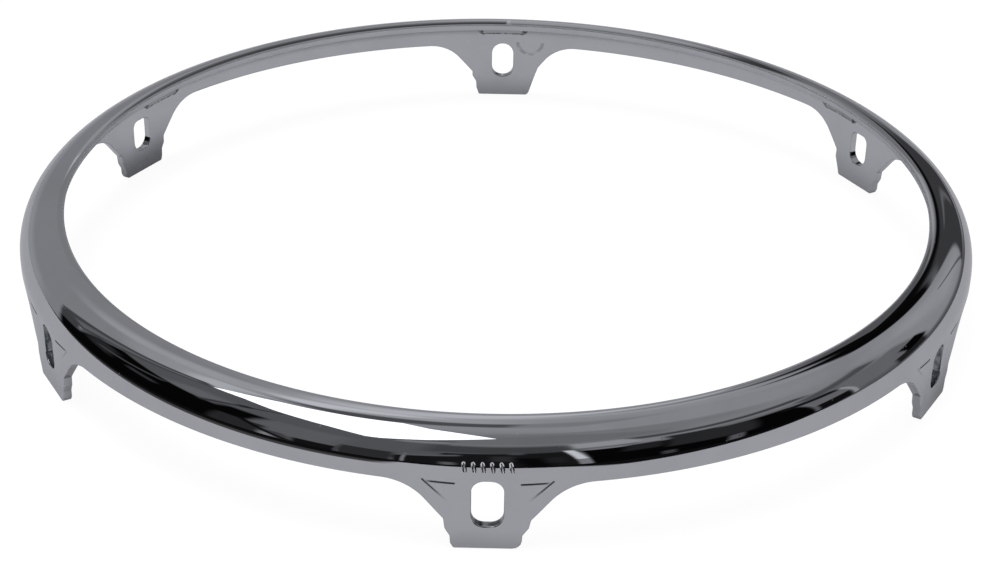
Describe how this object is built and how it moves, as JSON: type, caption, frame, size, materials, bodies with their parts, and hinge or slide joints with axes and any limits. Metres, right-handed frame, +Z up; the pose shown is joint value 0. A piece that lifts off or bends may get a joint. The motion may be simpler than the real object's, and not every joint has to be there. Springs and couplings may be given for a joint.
{
  "type": "drum hoop",
  "caption": "Metal drum hoop: a domed crown and short collar with slotted lugs below for hooks that pull a drum head down.",
  "frame": {"origin": "on the hoop's axis, level with the feet of the lugs", "axes": "+Z up along the hoop's axis, towards the crown; -Y towards the lug called front; +X to the right of it as seen from outside"},
  "size_m": [0.3542, 0.3542, 0.0398],
  "materials": {
    "ring_chrome": "polished bright chrome",
    "lug_chrome": "polished bright chrome, slightly softer than the crown",
    "strap_chrome": "chrome over a plainer inside surface",
    "weld_plated": "dull chrome over a rough weld"
  },
  "bodies": {
    "root": {"crown_ring": "ring_chrome", "lug_plate_front": "lug_chrome", "brace_strap_front": "strap_chrome", "strap_weld_a_front": "weld_plated", "strap_weld_b_front": "weld_plated", "lug_plate_right_front": "lug_chrome", "brace_strap_right_front": "strap_chrome", "strap_weld_a_right_front": "weld_plated", "strap_weld_b_right_front": "weld_plated", "lug_plate_right_back": "lug_chrome", "brace_strap_right_back": "strap_chrome", "strap_weld_a_right_back": "weld_plated", "strap_weld_b_right_back": "weld_plated", "lug_plate_back": "lug_chrome", "brace_strap_back": "strap_chrome", "strap_weld_a_back": "weld_plated", "strap_weld_b_back": "weld_plated", "lug_plate_left_back": "lug_chrome", "brace_strap_left_back": "strap_chrome", "strap_weld_a_left_back": "weld_plated", "strap_weld_b_left_back": "weld_plated", "lug_plate_left_front": "lug_chrome", "brace_strap_left_front": "strap_chrome", "strap_weld_a_left_front": "weld_plated", "strap_weld_b_left_front": "weld_plated"}
  },
  "joints": []
}
